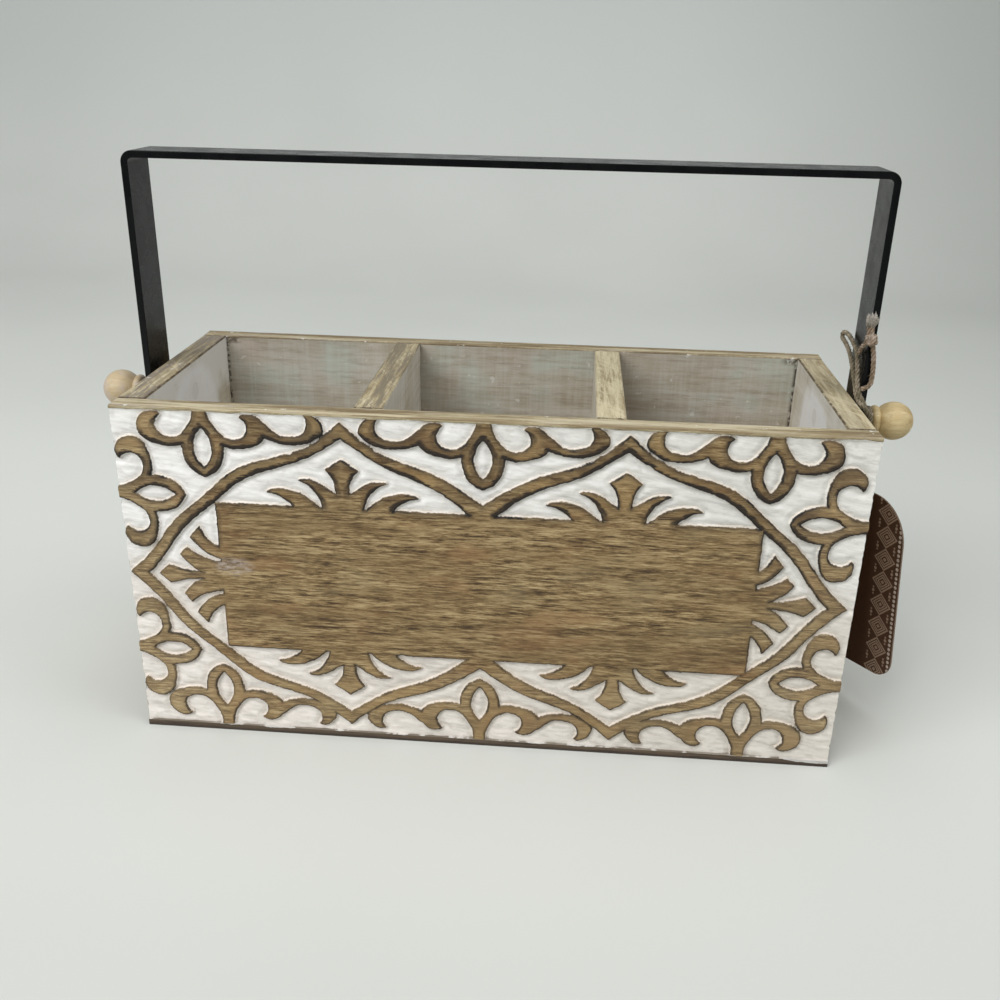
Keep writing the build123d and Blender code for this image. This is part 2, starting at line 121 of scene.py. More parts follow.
class Finish:
    """A node material in the making."""

    def __init__(self, name, roughness=0.6):
        self.material = bpy.data.materials.new(name)
        self.material.use_nodes = True
        self.tree = self.material.node_tree
        self.shader = self.tree.nodes["Principled BSDF"]
        self.shader.inputs["Roughness"].default_value = roughness
        self.place = Value(self, self.add("ShaderNodeTexCoord").outputs["Object"])

    def add(self, kind, **settings):
        node = self.tree.nodes.new(kind)
        for key, value in settings.items():
            setattr(node, key, value)
        return node

    def feed(self, socket, value):
        """Link an output to a socket, or set a number or a screen colour on it."""
        if isinstance(value, Value):
            self.tree.links.new(value.socket, socket)
        else:
            socket.default_value = paint(*value) if isinstance(value, tuple) else value

    def noise(self, waves, detail=3.0, roughness=0.55, distortion=0.0, turn=(0, 0, 0)):
        """Noise with so many waves per metre along x, y and z, which may be turned."""
        x, y, z = waves if isinstance(waves, tuple) else (waves, waves, waves)
        mapping = self.add("ShaderNodeMapping", vector_type="TEXTURE")
        self.feed(mapping.inputs["Vector"], self.place)
        mapping.inputs["Rotation"].default_value = turn
        mapping.inputs["Scale"].default_value = (1 / x, 1 / y, 1 / z)
        node = self.add("ShaderNodeTexNoise")
        self.tree.links.new(mapping.outputs["Vector"], node.inputs["Vector"])
        numbers = {"Scale": 1.0, "Detail": detail, "Roughness": roughness, "Distortion": distortion}
        for key, number in numbers.items():
            node.inputs[key].default_value = number
        return Value(self, node.outputs[0])

    def ramp(self, value, *stops):
        """Smooth change of a value through screen colours, each given with its position."""
        node = self.add("ShaderNodeValToRGB")
        node.color_ramp.interpolation = "EASE"
        while len(node.color_ramp.elements) < len(stops):
            node.color_ramp.elements.new(0.5)
        for element, (position, colour) in zip(node.color_ramp.elements, stops):
            element.position = position
            element.color = paint(*colour)
        self.feed(node.inputs["Fac"], value)
        return Value(self, node.outputs["Color"])

    def mix(self, share, first, second, mode="MIX"):
        node = self.add("ShaderNodeMix", data_type="RGBA", blend_type=mode)
        for index, value in ((0, share), (6, first), (7, second)):
            self.feed(node.inputs[index], value)
        return Value(self, node.outputs[2])

    def tint(self, base, colour, value, low, high, most=1.0):
        """The base with up to so much of a colour as the value goes from low to high."""
        return self.mix(self.step(value, low, high, 0.0, most), base, colour)

    def compute(self, operation, first, second=0.0, third=0.0):
        node = self.add("ShaderNodeMath", operation=operation)
        for socket, value in zip(node.inputs, (first, second, third)):
            self.feed(socket, value)
        return Value(self, node.outputs[0])

    linear = partialmethod(compute, "MULTIPLY_ADD")
    zigzag = partialmethod(compute, "PINGPONG")
    larger = partialmethod(compute, "MAXIMUM")

    def step(self, value, low, high, start=0.0, end=1.0):
        """Smooth step from start to end as the value goes from low to high."""
        node = self.add("ShaderNodeMapRange", interpolation_type="SMOOTHSTEP")
        for socket, number in zip(node.inputs, (value, low, high, start, end)):
            self.feed(socket, number)
        return Value(self, node.outputs[0])

    def axes(self, place=None):
        """The three coordinates of the object, or of another place."""
        node = self.add("ShaderNodeSeparateXYZ")
        self.feed(node.inputs[0], place or self.place)
        return [Value(self, output) for output in node.outputs]

    def attribute(self, name):
        return Value(self, self.add("ShaderNodeAttribute", attribute_name=name).outputs["Fac"])

    def finish(self, colour, roughness=None, height=None, depth=0.0002, strength=0.5):
        self.feed(self.shader.inputs["Base Color"], colour)
        if roughness:
            self.feed(self.shader.inputs["Roughness"], roughness)
        if height:
            bump = self.add("ShaderNodeBump")
            bump.inputs["Strength"].default_value = strength
            bump.inputs["Distance"].default_value = depth
            self.feed(bump.inputs["Height"], height)
            self.tree.links.new(bump.outputs["Normal"], self.shader.inputs["Normal"])
        return self.material


def dress(piece, *materials):
    """Give a new piece its materials, or a solid its one."""
    slots = piece.data.materials
    for index in range(len(slots)):
        slots[index] = materials[0]
    if not slots:
        for material in materials:
            slots.append(material)


# Twine

rope_step = 0.3
sparse_hairs = 1.1
dense_hairs = 2.5
tuft_hairs = 110
tuft_clearance = 0.8


def line_along(route):
    """Points of a smooth NURBS line that has the route as its control points."""
    curve = bpy.data.curves.new("route", "CURVE")
    curve.dimensions = "3D"
    curve.resolution_u = 24
    spline = curve.splines.new("NURBS")
    spline.points.add(len(route) - 1)
    for point, place in zip(spline.points, route):
        point.co = (*((pivot + Vector(place)) * MM), 1.0)
    spline.order_u = 3
    spline.use_endpoint_u = True
    holder = bpy.data.objects.new("route", curve)
    mesh = bpy.data.meshes.new_from_object(holder)
    points = np.array([vertex.co for vertex in mesh.vertices])
    bpy.data.objects.remove(holder)
    bpy.data.curves.remove(curve)
    bpy.data.meshes.remove(mesh)
    return points


def travel_along(points):
    """Distance of each point from the first, measured along the line."""
    runs = np.linalg.norm(np.diff(points, axis=0), axis=1)
    return np.concatenate(([0.0], np.cumsum(runs)))


def even_steps(points):
    """The same line with points a rope step apart."""
    along = travel_along(points)
    count = max(4, int(along[-1] / (rope_step * MM)))
    wanted = np.linspace(0, along[-1], count + 1)
    return np.column_stack([np.interp(wanted, along, points[:, axis]) for axis in range(3)])


def frames_along(points):
    """Tangent and two normals at each point, carried along without twist."""
    tangents = np.gradient(points, axis=0)
    tangents /= np.linalg.norm(tangents, axis=1)[:, None]
    normal = np.cross(tangents[0], (0.3, 0.5, 0.8))
    normal /= np.linalg.norm(normal)
    normals = []
    for tangent in tangents:
        normal = normal - tangent * np.dot(tangent, normal)
        normal = normal / np.linalg.norm(normal)
        normals.append(normal)
    normals = np.array(normals)
    return tangents, normals, np.cross(tangents, normals)


def add_tube(mesh, centres, radii, sides):
    """A closed tube round a line, its radius given at each point."""
    _, normals, seconds = frames_along(centres)
    angles = [2 * math.pi * side / sides for side in range(sides)]
    rings = []
    for centre, normal, second, radius in zip(centres, normals, seconds, radii):
        aways = [math.cos(angle) * normal + math.sin(angle) * second for angle in angles]
        rings.append([mesh.verts.new(centre + radius * away) for away in aways])
    for ring, following in zip(rings, rings[1:]):
        for side in range(sides):
            after = (side + 1) % sides
            mesh.faces.new((ring[side], ring[after], following[after], following[side]))
    mesh.faces.new(rings[0][::-1])
    mesh.faces.new(rings[-1])


def add_rope(mesh, points, diameter=2.2 * MM, plies=3, lay=6.5 * MM, seed=1.0):
    """Plies twisted round a line, each a little uneven."""
    points = even_steps(points)
    _, normals, seconds = frames_along(points)
    along = travel_along(points)
    ply_radius = diameter * 0.25
    offset = diameter / 2 - ply_radius
    for ply in range(plies):
        angles = 2 * math.pi * (along / lay + ply / plies)
        swell = np.array([noise.noise((seed * 7 + ply * 3, s * 450, 0)) for s in along])
        centres = points + offset * (np.cos(angles)[:, None] * normals + np.sin(angles)[:, None] * seconds)
        add_tube(mesh, centres, ply_radius * (0.94 + 0.12 * swell), 8)


def add_fuzz(mesh, points, hairs_per_mm, seed, length=1.6 * MM):
    """Loose fibres that stand off the twine."""
    points = even_steps(points)
    tangents, normals, seconds = frames_along(points)
    chance = np.random.default_rng(seed)
    count = int(len(points) * rope_step * hairs_per_mm)
    for index in chance.integers(2, len(points) - 2, count):
        angle = chance.uniform(0, 2 * math.pi)
        away = math.cos(angle) * normals[index] + math.sin(angle) * seconds[index]
        lean = tangents[index] * chance.uniform(-1.2, 1.2)
        bend = np.cross(away, tangents[index]) * chance.uniform(-0.8, 0.8)
        reach = length * chance.uniform(0.4, 1.0)
        start = points[index] + away * twine_diameter * 0.4 * MM
        middle = start + (0.45 * away + 0.5 * lean) * reach
        end = middle + (0.35 * away + 0.5 * lean + 0.5 * bend) * reach
        add_tube(mesh, np.array([start, middle, end]), np.array([0.045, 0.04, 0.015]) * MM, 3)


def mesh_from(builder, name):
    mesh = bpy.data.meshes.new(name)
    builder.to_mesh(mesh)
    builder.free()
    mesh.shade_smooth()
    return mesh


def twine_piece(builder, name, body):
    return make_object(name, mesh_from(builder, name), body)


def twine_finish(name, dark, middle, light):
    """Jute in three shades, with painted shade in the dips between the fibres."""
    look = Finish(name, 0.92)
    broad = look.noise(240, 3, 0.6)
    fine = look.noise((2600, 2600, 900), 4, 0.7)
    body = look.ramp(broad, (0.34, dark), (0.5, middle), (0.66, light))
    # Painted shade: darker where the fine bump dips, between the fibres.
    colour = look.mix(look.step(fine, 0.36, 0.64, 0.6, 0), body, (70, 60, 46))
    return look.finish(colour, None, fine, 0.0002, 0.8)


tag_route = [
    (5.1, -0.2, 5.2), (5.1, -5.2, 5.2), (5.1, -4.9, -8), (9.6, -1, -28), (9.8, -0.8, -36),
    (10.1, -0.6, -41.5), (13.5, 1.4, -41.5), (13.2, 1.25, -36), (11.6, 0.7, -28), (5.1, 4.9, -8),
    (5.1, 5.2, 5.2), (5.1, 0.2, 5.2),
]
bight_route = [
    (1.2, 5.2, 3), (1.2, 5.2, -5.2), (1.2, -5.2, -5.2), (1.2, -5.6, 2), (1.4, -11.6, 7),
    (-1.6, -13.2, 11.6), (-4.4, -11.6, 16.5), (-4.5, -6.5, 24.5), (-4.5, -3, 31), (-4.6, 8, 33.8),
    (-4.7, 16, 34.6), (-4.6, 22.5, 33.8), (-4.6, 25.8, 32.8), (-4.6, 25.8, 30.8), (-4.6, 21.5, 30.2),
    (-4.7, 16, 29.8), (-4.6, 9.5, 28.2), (-4.6, 1.8, 24), (-4.6, -6.5, 18), (-4.4, -12, 12.6),
    (-0.8, -15.2, 9.4), (2.8, -12.2, 5.6), (2.9, -5.6, 2), (2.9, -5.2, -5.2), (2.9, 5.2, -5.2),
    (2.9, 5.2, 3),
]
knot_middle = (-2.8, -14.7, 39.4)
front_strand = [
    knot_middle, (-0.9, -13.6, 34.5), (0.1, -13.2, 28), (0.3, -13.2, 22.5), (0, -13.4, 19.6),
    (-2.2, -13.6, 18.2), (-3.6, -13.6, 17.9),
]
inner_strand = [knot_middle, (-4.8, -12, 37), (-4.8, -8.2, 34.4), (-4.8, -5.8, 31.4)]
short_tail = [knot_middle, (-4.6, -14.4, 43), (-4.5, -14.8, 46), (-4.9, -14.6, 49.4)]
long_tail = [knot_middle, (-3.4, -15, 43.4), (-3.8, -15.4, 46.4), (-3.9, -15.6, 50.4)]
tail_root = 0.58


def root_of(tail):
    """The part of a tail that is still laid."""
    line = line_along(tail)
    return line[:int(len(line) * tail_root)]


def lay_twine(name, route, body, node, seed):
    """One declared length of twine in place of its solid, with its loose fibres."""
    points = line_along(route)
    builder = bmesh.new()
    add_rope(builder, points, seed=seed)
    rope = twine_piece(builder, name, body)
    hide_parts(node)
    builder = bmesh.new()
    add_fuzz(builder, points, sparse_hairs, int(seed * 10))
    fibres = twine_piece(builder, name + "_fibres", body)
    return rope, fibres


def tie_knot():
    """The overhand knot: a trefoil of twine, two strands into it and the roots of two tails."""
    builder = bmesh.new()
    middle = np.array((pivot + Vector(knot_middle)) * MM)
    turns = np.linspace(0, 2 * math.pi, 90)
    wide = 0.86 * MM
    lump = np.column_stack([
        wide * (np.sin(turns) + 1.35 * np.sin(2 * turns)),
        wide * (np.cos(turns) - 1.35 * np.cos(2 * turns)) * 0.9,
        -wide * 1.8 * np.sin(3 * turns),
    ])
    add_rope(builder, middle + lump, seed=5.0)
    strands = [line_along(front_strand), line_along(inner_strand), root_of(short_tail), root_of(long_tail)]
    for seed, strand in enumerate(strands, 6):
        add_rope(builder, strand, seed=seed)
    return twine_piece(builder, "twine_knot_tied", "handle")


def fray_tails():
    """Cut ends of the two tails, teased out into a tuft."""
    builder = bmesh.new()
    chance = np.random.default_rng(77)
    thin = np.array([0.13, 0.12, 0.1, 0.05]) * MM
    for tail in (short_tail, long_tail):
        root = root_of(tail)[-3]
        way = line_along(tail)[-1] - root
        reach = np.linalg.norm(way)
        way = way / reach
        for _ in range(tuft_hairs):
            out = chance.normal(0, 1, 3)
            out = out - way * np.dot(out, way)
            out = out / np.linalg.norm(out) * math.sqrt(chance.uniform(0, 1))
            length = reach * chance.uniform(0.55, 1.05)
            bend = chance.normal(0, 0.35, 3) * MM
            start = root + out * 0.9 * MM
            lower = start + way * length * 0.35 + out * 0.9 * MM
            upper = start + way * length * 0.75 + out * 1.25 * MM + bend
            tip = start + way * length + out * chance.uniform(0.3, 1.5) * MM + 2 * bend
            hair = np.array([start, lower, upper, tip])
            hair[:, 0] = np.maximum(hair[:, 0], (half_length + tuft_clearance) * MM)
            add_tube(builder, hair, thin, 4)
    return twine_piece(builder, "twine_tuft", "handle")


def fluff_knot():
    """Loose fibres on the knot and its two strands."""
    builder = bmesh.new()
    for strand in (front_strand, inner_strand):
        add_fuzz(builder, line_along(strand), sparse_hairs, 41)
    for tail in (short_tail, long_tail):
        add_fuzz(builder, root_of(tail), dense_hairs, 31)
    return twine_piece(builder, "twine_knot_fibres", "handle")


jute = twine_finish("jute_twine", (104, 98, 76), (142, 131, 108), (182, 168, 148))
rosy = twine_finish("jute_knot", (140, 122, 98), (172, 150, 128), (200, 184, 168))
pale = twine_finish("jute_tuft", (182, 174, 158), (204, 196, 184), (222, 214, 206))
knot = tie_knot()
tuft = fray_tails()
fluff = fluff_knot()
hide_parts("twine_knot")
dress(knot, rosy)
dress(tuft, pale)
dress(fluff, rosy)
laid = lay_twine("tag_twine_laid", tag_route, "tag", "tag_twine", 1.0)
laid += lay_twine("twine_bight_laid", bight_route, "handle", "twine_bight", 2.0)
for piece in laid:
    dress(piece, jute)


# Carved boards: the raised ornament is read off the solid and recut with worn, sloping edges

pitch = 0.5
edge_reach = 6.0
wall_width = 0.7
edge_rounding = 0.16
ground_swell = 0.75
carving_offset = 1.2
field_middle = 78.0
knife_width = 0.62
top_round = 0.5
top_wear = 0.04
lip_height = 1.9
lip_depth = 0.2
end_ragged = 0.5
outer_rounding = ((0.3, 0.12), (0.45, 0.3), (0.5, 0.55))
inner_rounding = ((0.5, 0.6), (0.4, 0.25), (0.2, 0.06), (-0.1, 0.0))
knife_lines = (
    ((79.2, 134.8), (75.3, 136.4), (71.3, 138.4), (67.3, 141.0), (63.4, 144.2), (60.4, 146.8)),
    ((54.5, 146.4), (51.5, 143.8), (47.5, 140.7), (43.6, 138.0), (39.6, 135.9), (35.6, 134.3)),
)


def ornament(node, outward):
    """Triangles of the raised face and the edges where it is cut, in millimetres."""
    mesh = nodes[node].data
    mesh.calc_loop_triangles()
    points = np.array([vertex.co for vertex in mesh.vertices]) / MM
    corners = points[np.array([triangle.vertices for triangle in mesh.loop_triangles])]
    flat = np.abs(corners[:, :, 1] - outward * half_depth).max(axis=1) < 0.01
    raised = corners[flat][:, :, (0, 2)]
    sides = np.round(raised, 3)[:, ((0, 1), (1, 2), (2, 0))].reshape(-1, 2, 2)
    sides = [sorted(side) for side in sides.tolist()]
    edges, uses = np.unique(sides, axis=0, return_counts=True)
    edges = edges[uses == 1]
    ends = np.abs(edges[:, :, 0]).min(axis=1) > half_length - 0.05
    tops = edges[:, :, 1].min(axis=1) > rim - 0.6
    feet = edges[:, :, 1].max(axis=1) < base_top + 0.05
    return raised, edges[~(ends | tops | feet)]


def window(low, high, across, up):
    """The part of the grid between two corners, and its coordinates."""
    columns = slice(*np.searchsorted(across, (low[0], high[0])))
    rows = slice(*np.searchsorted(up, (low[1], high[1])))
    return (rows, columns), across[columns][None, :], up[rows][:, None]


def edge_distance(edges, across, up):
    """Distance to the nearest edge at each grid point, up to the reach."""
    distance = np.full((len(up), len(across)), edge_reach)
    for first, second in edges:
        low = np.minimum(first, second) - edge_reach
        part, x, z = window(low, np.maximum(first, second) + edge_reach, across, up)
        x = x - first[0]
        z = z - first[1]
        run = second - first
        share = np.clip((x * run[0] + z * run[1]) / max(run @ run, 1e-9), 0, 1)
        near = np.hypot(x - share * run[0], z - share * run[1])
        distance[part] = np.minimum(distance[part], near)
    return distance


def knife_cuts(outward):
    """Edges of the thin cuts that part the scrolls from the crowns of the ogee."""
    middle = outward * carving_offset
    edges = []
    for line in knife_lines:
        for side in (-1, 1):
            places = [np.array((middle + side * x, rise)) for x, rise in line]
            edges += zip(places, places[1:])
    return edges


def cut_distance(raised, edges, across, up):
    """Distance to the nearest cut edge at each grid point, positive on the raised wood."""
    distance = edge_distance(edges, across, up)
    inside = np.zeros(distance.shape, bool)
    for triangle in raised:
        part, x, z = window(triangle.min(axis=0) - 0.01, triangle.max(axis=0) + 0.01, across, up)
        sides = []
        for start, end in zip(triangle, np.roll(triangle, -1, axis=0)):
            sides.append((end[0] - start[0]) * (z - start[1]) - (end[1] - start[1]) * (x - start[0]))
        inside[part] |= (np.min(sides, axis=0) >= -1e-6) | (np.max(sides, axis=0) <= 1e-6)
    return np.where(inside, distance, -distance)


def smooth(value):
    value = np.clip(value, 0, 1)
    return value * value * (3 - 2 * value)


def field(across, up, scale_x, scale_z, seed):
    """Smooth noise at each grid point, its waves given per millimetre."""
    return np.array([[noise.noise((x * scale_x, z * scale_z, seed)) for x in across] for z in up])


def cut_depth(signed, across, up):
    """How far the carved face lies below the board's face: a scooped ground under thick paint."""
    slope = smooth(-signed / wall_width)
    rounding = edge_rounding * np.exp(-np.square(np.maximum(signed, 0) / 0.45)) * (1 - slope)
    ripple = 0.15 * field(across, up, 0.11, 0.16, 3.1) + 0.2 * field(across, up, 0.2, 0.6, 8.4)
    ripple += 0.08 * field(across, up, 0.7, 1.1, 6.3)
    swell = ground_swell * smooth((-signed - 0.4) / 3.4)
    ground = carving_depth - 0.1 - swell + ripple
    wood = 0.03 + 0.2 * np.abs(ripple)
    depth = slope * ground + (1 - slope) * (wood + rounding)
    lip = smooth((up - rim + lip_height) / 0.7)[:, None]
    return depth * (1 - lip) + lip_depth * lip


def board_rows(across, up, signed, outward):
    """Rows of the swept profile: height, depth below the face, distance to the cut and its slant."""
    depth = cut_depth(signed, across, up)
    rows = list(zip(up, depth, signed, np.gradient(signed, pitch, axis=0)))
    plain = np.zeros(len(across))
    shoulder = rim - top_round - top_wear
    wear = np.array([0.1 * abs(noise.noise((x * 0.09, outward * 4.0, 1.7))) for x in across])
    for rise, inset in outer_rounding:
        rows.append((shoulder + rise - wear, depth[-1] + inset, signed[-1], plain))
    for rise, inset in inner_rounding:
        rows.append((shoulder + rise, face_board - inset, plain + edge_reach, plain))
    rows.append((base_top, face_board, plain + edge_reach, plain))
    return rows


def board_points(rows, across, outward):
    """Points of the swept profile, a little ragged at its two ends."""
    points = np.zeros((len(rows), len(across), 3))
    for row, (height, below, *_) in enumerate(rows):
        points[row, :, 0] = across
        points[row, 0, 0] += end_ragged * abs(noise.noise((row * 0.17, outward * 2.0, 4.4)))
        points[row, -1, 0] -= end_ragged * abs(noise.noise((row * 0.17, outward * 2.0, 9.1)))
        points[row, :, 1] = outward * (half_depth - below)
        points[row, :, 2] = height
    return points.reshape(-1, 3) * MM


def board_faces(count, columns, front_rows, outward):
    """Faces round the profile and at its ends, and the finish of each: carved, rim, wash or sawn."""
    carved, rim_edge, wash, sawn = range(4)
    strips = [carved] * front_rows + [rim_edge] * (count - 2 - front_rows) + [wash, sawn]
    faces = []
    kinds = []
    for row, kind in enumerate(strips):
        after = (row + 1) % count
        for column in range(columns - 1):
            near = row * columns + column
            far = after * columns + column
            corners = (near, near + 1, far + 1, far)
            faces.append(corners if outward < 0 else corners[::-1])
            kinds.append(kind)
    left = [row * columns for row in range(count)]
    right = [start + columns - 1 for start in left]
    faces.append(left if outward > 0 else left[::-1])
    faces.append(right if outward < 0 else right[::-1])
    return faces, kinds + [sawn, sawn]


def carved_board(name, node, outward):
    """Sweep the board's profile along its length, its outer face cut by the ornament."""
    top = rim - top_round
    across = np.linspace(-half_length, half_length, int(2 * half_length / pitch) + 1)
    up = np.linspace(base_top, top, int((top - base_top) / pitch) + 1)
    raised, edges = ornament(node, outward)
    signed = cut_distance(raised, edges, across, up)
    signed = np.minimum(signed, edge_distance(knife_cuts(outward), across, up) - knife_width / 2)
    signed += 0.34 * field(across, up, 0.3, 0.3, 5.2) + 0.2 * field(across, up, 0.95, 0.95, 2.7)
    rows = board_rows(across, up, signed, outward)
    faces, kinds = board_faces(len(rows), len(across), len(up) - 1, outward)
    mesh = bpy.data.meshes.new(name)
    mesh.from_pydata(board_points(rows, across, outward).tolist(), [], faces)
    mesh.polygons.foreach_set("material_index", kinds)
    for label, column in (("raise", 2), ("under", 3)):
        attribute = mesh.attributes.new(label, "FLOAT", "POINT")
        values = np.concatenate([row[column] for row in rows])
        attribute.data.foreach_set("value", values.astype(np.float32))
    unroll(mesh, rows, len(across))
    mesh.shade_smooth()
    mesh.set_sharp_from_angle(angle=math.radians(48))
    piece = make_object(name, mesh, "caddy")
    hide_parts(node)
    return piece


def unroll(mesh, rows, columns):
    """Lay the swept profile out flat in one square map, the end faces beside it."""
    count = len(rows)
    size = 2 * half_length + 2 * face_board + 1
    profile = np.array([(np.mean(height), np.mean(below)) for height, below, *_ in rows])
    travel = travel_along(profile) + 0.002 * np.arange(count)
    travel = np.append(travel, travel[-1] + face_board)
    vertices = np.zeros(len(mesh.loops), int)
    mesh.loops.foreach_get("vertex_index", vertices)
    quads = count * (columns - 1)
    row, column = np.divmod(vertices[:4 * quads], columns)
    strip = np.repeat(np.arange(quads) // (columns - 1), 4)
    row[(strip == count - 1) & (row == 0)] = count
    swept = np.column_stack((1 + column * 2 * half_length / (columns - 1), 1 + travel[row]))
    points = np.array([mesh.vertices[index].co for index in vertices[4 * quads:]]) / MM
    beside = 2 * half_length + 4 + half_depth - np.abs(points[:, 1])
    ends = np.column_stack((beside, np.where(points[:, 0] < 0, 0, size / 2) + points[:, 2]))
    places = np.concatenate((swept, ends)) / max(size, travel[-1] + 2)
    mesh.uv_layers.new(name="OFBake").data.foreach_set("uv", places.reshape(-1))


def grain(look, turn=(0, 0, 0)):
    """Wood grain along x: wide bands, broken streaks and short dark flecks."""
    bands = look.noise((6, 60, 60), 3, 0.5, 0.4, turn=turn)
    streaks = look.noise((34, 420, 420), 8, 0.82, 0.2, turn=turn)
    flecks = look.noise((140, 1500, 1500), 5, 0.75, turn=turn)
    return bands, streaks, flecks


def stained_colour(look, bands, streaks, flecks, turn=(0, 0, 0)):
    """Brown stain that sinks into the grain, with redder and greyer patches."""
    mixed = streaks * 0.5 + flecks * 0.5
    clumps = look.step(look.noise((20, 130, 130), 3, 0.6, turn=turn), 0.36, 0.64, 0.85, 1.5)
    mixed = look.linear(mixed - 0.5, clumps, 0.5)
    colour = look.ramp(mixed, (0.39, (186, 163, 120)), (0.47, (153, 129, 88)),
                       (0.53, (115, 91, 55)), (0.61, (58, 40, 20)))
    patch = look.noise((22, 50, 50), 4, 0.65)
    colour = look.tint(colour, (150, 112, 72), patch, 0.52, 0.68, 0.45)
    colour = look.tint(colour, (150, 134, 98), patch, 0.47, 0.32, 0.35)
    return look.tint(colour, (94, 73, 42), bands, 0.5, 0.7, 0.35)


def white_paint(look):
    """Brushed white with thin, dirtier places, and the brush marks themselves."""
    strokes = look.noise((60, 420, 420), 4, 0.65, turn=(0, 0.14, 0))
    dabs = look.noise((170, 240, 240), 4, 0.62)
    white = look.ramp(strokes, (0.3, (220, 217, 213)), (0.48, (243, 241, 237)), (0.62, (255, 253, 250)))
    white = look.tint(white, (204, 200, 194), dabs, 0.54, 0.7, 0.4)
    return white, strokes + dabs * 0.8


def tan_edge(look, bands, streaks, flecks):
    """Bare tan wood of a sawn edge."""
    tan = look.ramp(bands, (0.3, (152, 138, 106)), (0.5, (170, 156, 123)), (0.72, (186, 173, 140)))
    tan = look.tint(tan, (118, 99, 66), streaks, 0.5, 0.6, 0.7)
    tan = look.tint(tan, (206, 195, 164), streaks, 0.49, 0.4, 0.7)
    return look.tint(tan, (106, 87, 56), flecks, 0.55, 0.66, 0.6)


def toned_wood(look, wood, x, z, upper):
    """Stain that is golden in places, bleached at foot and ends, dusky in the top row."""
    tone = look.noise(38, 3, 0.6, turn=(0.4, 0.2, 0))
    beyond = look.step(abs(z - field_middle * MM), 0.036, 0.042)
    wood = look.mix(beyond * look.step(tone, 0.44, 0.62, 0, 0.35), wood, (166, 134, 84))
    wood = look.mix(beyond * look.step(upper, 0, 0.5, 1, 0), wood, (57, 51, 41), "SCREEN")
    wood = look.mix(look.step(abs(x), 0.108, 0.13), wood, (68, 60, 47), "SCREEN")
    return look.mix(upper * beyond * look.step(tone, 0.54, 0.38, 0, 0.5), wood, (84, 61, 34))


def burnt_and_shaded_edges(look, wood, edge, ragged, under, upper):
    """A scorched band and a thin dark line along each cut, heavier in the top row; the band is darker on
    the ornament's lower edges as painted shade.
    """
    broad = look.noise(60, 3)
    width = look.step(broad, 0.36, 0.64, 0.7, 2.6) * look.step(upper, 0, 1, 0.4, 1.1)
    # Scorched band, strengthened on the lower edges as painted shade.
    band = (
        look.step(look.compute("DIVIDE", edge + ragged, width), 0.5, 1, 1, 0)
        * look.step(under, -0.3, 0.7, 0.3, 1)
        * look.step(upper, 0, 1, 0.6, 1)
    )
    patchy = look.noise(95, 3, 0.6, turn=(0.3, 0.9, 0))
    line = (
        look.step(edge, 0.15, 0.7, 1, 0)
        * look.step(look.linear(under, 0.1, patchy), 0.4, 0.58, 0.35, 1)
        * look.step(upper, 0, 1, 0.75, 1)
    )
    return look.mix(line, look.mix(band, wood, (37, 25, 13)), (22, 15, 9))


def rubbed_spot(look, wood, x, z):
    """One place near the left end of the field, rubbed pale."""
    spot_x = -106.5 * MM
    spot_z = 83.2 * MM
    aside = (x - spot_x) * 95
    above = (z - spot_z) * 190
    rubbed = look.step(look.noise((260, 700, 700), 4, 0.7), 0.42, 0.62, 0.1, 0.6)
    near = look.step(aside * aside + above * above, 0.1, 1, 1, 0)
    return look.mix(rubbed * near, wood, (196, 184, 176))


def painted_ground(look, white, x, edge, under, upper):
    """White of the ground: warmer at the foot and a little darker there as painted shade, darker to the
    right as painted shade, painted shade along the cuts, and the walls that face up to the lamps dulled
    warm as painted shade.
    """
    # Warmer at the foot; the slight darkening there is painted shade near the base.
    white = look.mix(look.step(upper, 0, 0.6, 0.6, 0), white, (242, 233, 225), "MULTIPLY")
    # Painted shade: a little darker towards the right.
    white = look.mix(look.step(x, -0.15, 0.14), white, (241, 241, 238), "MULTIPLY")
    shade = look.step(edge, -2.2, -0.5) * look.step(under, -0.2, 0.8, 0.02, 0.32)
    white = look.mix(shade, white, (172, 167, 160))
    # Painted shade: the walls that face up to the lamps are dulled to a warm tone.
    lit_wall = look.step(edge, -1.3, -0.5) * look.step(under, 0, -0.7, 0.15, 0.6)
    return look.mix(lit_wall, white, (222, 208, 190))


def carved_finish():
    """Brown wood on the raised ornament, burnt along its edges with painted shade on their lower sides,
    brushed white in the ground with painted shade along the cuts.
    """
    look = Finish("carved_face", 0.6)
    bands, streaks, flecks = grain(look)
    x, _, z = look.axes()
    upper = look.step(z, 0.055, 0.13)
    edge = look.attribute("raise") + look.linear(look.noise(800, 3, 0.65), 0.6, -0.3)
    under = look.attribute("under")
    wood = toned_wood(look, stained_colour(look, bands, streaks, flecks), x, z, upper)
    ragged = look.linear(streaks + flecks, 5, -5)
    # Burnt edges, with painted shade on their lower sides.
    burnt_and_shaded = burnt_and_shaded_edges(look, wood, edge, ragged, under, upper)
    burnt_and_shaded = rubbed_spot(look, burnt_and_shaded, x, z)
    white, strokes = white_paint(look)
    white = painted_ground(look, white, x, edge, under, upper)
    painted = look.step(edge, -0.42, -0.22, 1, 0)
    colour = look.mix(painted, burnt_and_shaded, white)
    lip = z + look.linear(look.noise((70, 70, 400), 4, 0.65), 0.003, -0.0015)
    bare = tan_edge(look, bands, streaks, flecks)
    bare = look.mix(look.step(lip, (rim - 1.35) * MM, (rim - 1) * MM, 0.75, 0), bare, (96, 76, 50))
    colour = look.tint(colour, bare, lip, (rim - 1.5) * MM, (rim - 1.25) * MM)
    relief = look.mix(painted, look.linear(flecks, -0.8, streaks), strokes)
    rough = look.step(painted, 0, 1, 0.68, 0.62)
    return look.finish(colour, rough, relief, 0.0005, 0.6)


